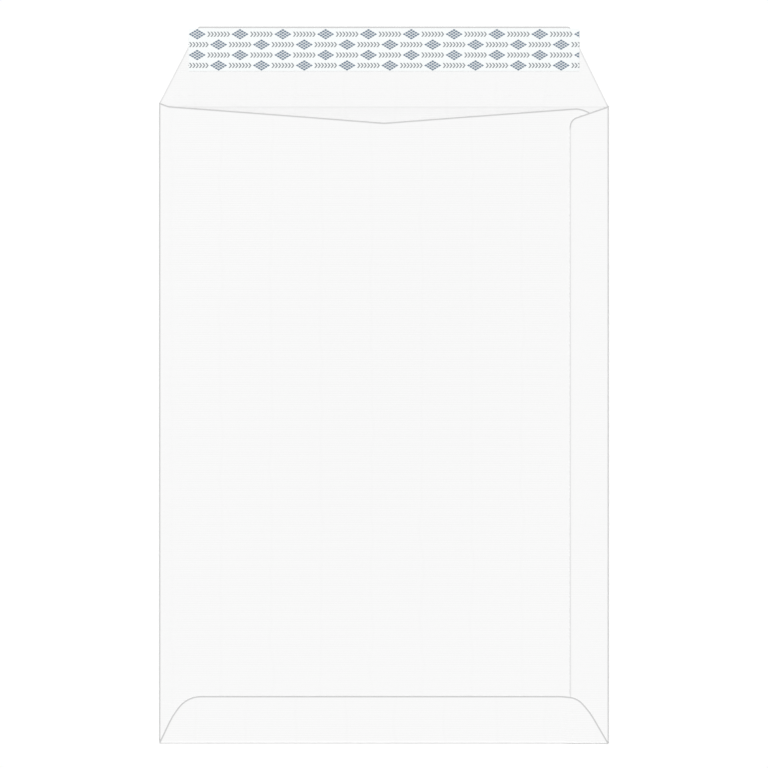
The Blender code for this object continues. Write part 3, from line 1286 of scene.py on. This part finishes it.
@dataclass(frozen=True)
class CheckedDiamond(Motif):
    """A diamond made of smaller diamonds."""

    length: float = 0.0092
    height: float = 0.0056
    cells: int = 4
    cell_share: float = 0.80

    def tree(self) -> Tree:
        """Make the rule that draws the diamond.

        Returns:
            A tree that makes flat faces which look up.
        """
        tree = ShapeTree.begin("checked_diamond", tuple(self.sizes()))
        count = tree.plus(tree.size("Cells"), 1.0)
        apart = tree.add("GeometryNodeSplitEdges", tree.grid(1.0, 1.0, count, count)).outputs["Mesh"]
        share = {"Geometry": apart, "Scale": tree.size("Cell Share")}
        cells = tree.fill(tree.add("GeometryNodeScaleElements", domain="FACE"), share).outputs["Geometry"]
        x, y, z = tree.here()
        along = tree.times(tree.minus(x, y), tree.times(tree.size("Length"), 0.5))
        across = tree.times(tree.plus(x, y), tree.times(tree.size("Height"), 0.5))
        tree.fill(tree.end, {"Geometry": tree.move_to(cells, tree.combine(along, across, z))})
        return tree.tree


def staggered_rows_tree(sizes: Sequence[str]) -> Tree:
    """Make the rule that repeats a motif in staggered rows.

    Args:
        sizes: The names of the tree's number inputs.

    Returns:
        A tree that copies what goes in to every place of the print.
    """
    tree = ShapeTree.begin("staggered_rows", sizes)
    finish, size = tree.material_input(), tree.size
    pitch, row_pitch = size("Pitch"), size("Row Pitch")
    last_column, last_row = (tree.minus(size(name), 1.0) for name in ("Columns", "Rows"))
    width, height = tree.times(last_column, pitch), tree.times(last_row, row_pitch)
    grid = tree.grid(width, height, size("Columns"), size("Rows"))
    x, y, _ = tree.here()
    row = tree.plus(tree.math("DIVIDE", y, row_pitch), tree.times(last_row, 0.5))
    odd = tree.math("MODULO", tree.math("ROUND", row), 2.0)
    along = tree.plus(x, size("Shift"), tree.times(odd, tree.times(pitch, 0.5)))
    place = tree.combine(along, tree.plus(y, size("Middle")), size("Height"))
    tree.finish_with(tree.repeat(tree.move_to(grid, place), size("Geometry")), finish)
    return tree.tree


@dataclass
class ReleaseLiner:
    """The peel-off strip over the adhesive band, with a generic print of diamonds and chevrons."""

    rows: int = 4
    pitch: float = 0.0218
    row_pitch: float = 0.0053
    print_shift: float = 0.003
    ink_depth: float = 0.000008
    ink_seat: float = 0.000004
    diamond: CheckedDiamond = field(default_factory=CheckedDiamond)
    chevrons: Chevrons = field(default_factory=Chevrons)
    low: Vector = field(init=False)
    high: Vector = field(init=False)

    def __post_init__(self) -> None:
        """Read the strip's place from its CAD node."""
        self.low, self.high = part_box(LINER_NODE)

    def build(self, paper: Material, inks: dict[Ink, Material]) -> None:
        """Dress the strip and print its two motifs, each in its own ink.

        Args:
            paper: The strip's finish.
            inks: The finish of each ink.
        """
        dress_node(LINER_NODE, paper)
        self.print_motif("liner_diamonds", self.diamond, 0.0, inks[Ink.BLUE])
        self.print_motif("liner_chevrons", self.chevrons, self.pitch / 2, inks[Ink.GREY])

    def print_motif(self, name: str, motif: Motif, shift: float, ink: Material) -> None:
        """Print one motif in staggered rows, cut off at the strip's edges.

        Args:
            name: The piece's name.
            motif: The motif that repeats.
            shift: How far its rows are moved along the strip.
            ink: The ink's finish.
        """
        piece = link_object(name, bpy.data.meshes.new(name))
        run_tree(piece, motif.tree(), motif.sizes())
        side_columns = math.ceil((self.high.x - self.low.x) / self.pitch / 2) + 1
        sizes = {
            "Columns": float(2 * side_columns + 1),
            "Rows": float(self.rows),
            "Pitch": self.pitch,
            "Row Pitch": self.row_pitch,
            "Shift": self.print_shift + shift,
            "Middle": ((self.low + self.high) / 2).y,
            "Height": self.high.z + self.ink_seat,
        }
        run_tree(piece, staggered_rows_tree(tuple(sizes)), sizes | {"Finish": ink})
        self.trim(piece.data)
        film = piece.modifiers.new("ink", "SOLIDIFY")
        film.thickness = self.ink_depth
        film.offset = 1.0
        keep_evaluated(piece)
        seat_piece(piece, Slot.LINER)

    def trim(self, mesh: bpy.types.Mesh) -> None:
        """Cut a flat print off at the strip's four edges.

        Args:
            mesh: The print.
        """
        work = bmesh.new()
        work.from_mesh(mesh)
        for corner, side in ((self.low, -1.0), (self.high, 1.0)):
            for axis in (X_AXIS, Y_AXIS):
                cut_plane(work, corner, axis * side, clear=True)
        work.to_mesh(mesh)
        work.free()


@dataclass(frozen=True)
class Adhesives:
    """The adhesive band under the liner and the two glue lines, kept as the frame gives them."""

    band: GlueFilm = GlueFilm("seal_band", (0.80, 0.77, 0.66), roughness=0.3, depth=0.000008)
    seam: GlueFilm = GlueFilm("seam_glue", (0.78, 0.76, 0.68), roughness=0.6, depth=0.000005)

    def dress(self) -> None:
        """Give each film its finish."""
        dress_node(BAND_NODE, self.band.make())
        glue = self.seam.make()
        for node in GLUE_NODES:
            dress_node(node, glue)


@dataclass(frozen=True)
class Studio:
    """A pale floor, a soft overhead lamp, an even white surround and the camera.

    The lens and the sensor are in millimetres.
    """

    view_width: float = 0.39107
    view_middle: float = 0.0005
    view_reach: float = 100.0
    lens: float = 200.0
    sensor: float = 36.0
    brightness: float = 1.03
    lamp_share: float = 0.62
    lamp_spread: float = math.radians(24)
    lamp_lean: float = math.radians(24)
    lamp_turn: float = math.radians(12)
    floor_size: float = 30.0
    floor_colour: Triple = (0.97, 0.97, 0.97)
    floor_glow: float = 0.02
    white: tuple[float, ...] = (1.0, 1.0, 1.0, 1.0)

    def build(self) -> None:
        """Set up the whole studio."""
        self.floor()
        self.surround()
        self.lamp()
        self.camera()
        bpy.context.scene.view_settings.view_transform = "Standard"

    def floor(self) -> None:
        """Lay a white floor that keeps the object's shadow."""
        mesh = bpy.data.meshes.new("studio_floor")
        work = bmesh.new()
        bmesh.ops.create_grid(work, x_segments=1, y_segments=1, size=self.floor_size / 2)
        work.to_mesh(mesh)
        work.free()
        floor = link_object("studio_floor", mesh)
        finish = Finish.begin("studio_floor")
        seen = finish.add("ShaderNodeLightPath").outputs["Is Camera Ray"]
        finish.set_shader(Base_Color=(*self.floor_colour, 1.0), Roughness=1.0, Specular_IOR_Level=0.0)
        finish.set_shader(Emission_Color=self.white, Emission_Strength=finish.times(seen, self.floor_glow))
        floor.data.materials.append(finish.material)

    def surround(self) -> None:
        """Light evenly from all round, and show plain white beyond the floor."""
        world = bpy.data.worlds.new("studio_surround")
        bpy.context.scene.world = world
        world.use_nodes = True
        writer = NodeWriter(world.node_tree)
        path = writer.add("ShaderNodeLightPath").outputs
        seen = writer.math("MAXIMUM", path["Is Camera Ray"], path["Is Glossy Ray"])
        seen = writer.math("MAXIMUM", seen, path["Is Transmission Ray"])
        share = self.brightness - self.lamp_share
        strength = writer.math("MULTIPLY_ADD", seen, 1.0 - share, share)
        writer.fill(world.node_tree.nodes["Background"], {"Color": self.white, "Strength": strength})

    def lamp(self) -> None:
        """Light softly from beyond the closure flap, so that the light falls into the pocket's mouth."""
        light = bpy.data.lights.new("key_light", "SUN")
        light.angle = self.lamp_spread
        light.energy = math.pi * self.lamp_share / math.cos(self.lamp_lean)
        link_object("key_light", light).rotation_euler = (-self.lamp_lean, 0.0, self.lamp_turn)

    def camera(self) -> None:
        """Look straight down on the envelope through a long lens."""
        data = bpy.data.cameras.new("camera")
        data.lens = self.lens
        data.sensor_width = self.sensor
        data.clip_end = self.view_reach
        camera = link_object("camera", data)
        camera.location = (0.0, self.view_middle, self.view_width * self.lens / self.sensor)
        bpy.context.scene.camera = camera


def main() -> None:
    """Build every sub-assembly in order."""
    FoldedSheet.from_frame().build(LaidPaper().make(), CutEdge().make())
    ReleaseLiner().build(LinerPaper().make(), {ink: PrintInk(ink).make() for ink in Ink})
    Adhesives().dress()
    Studio().build()


if __name__ == "__main__":
    main()
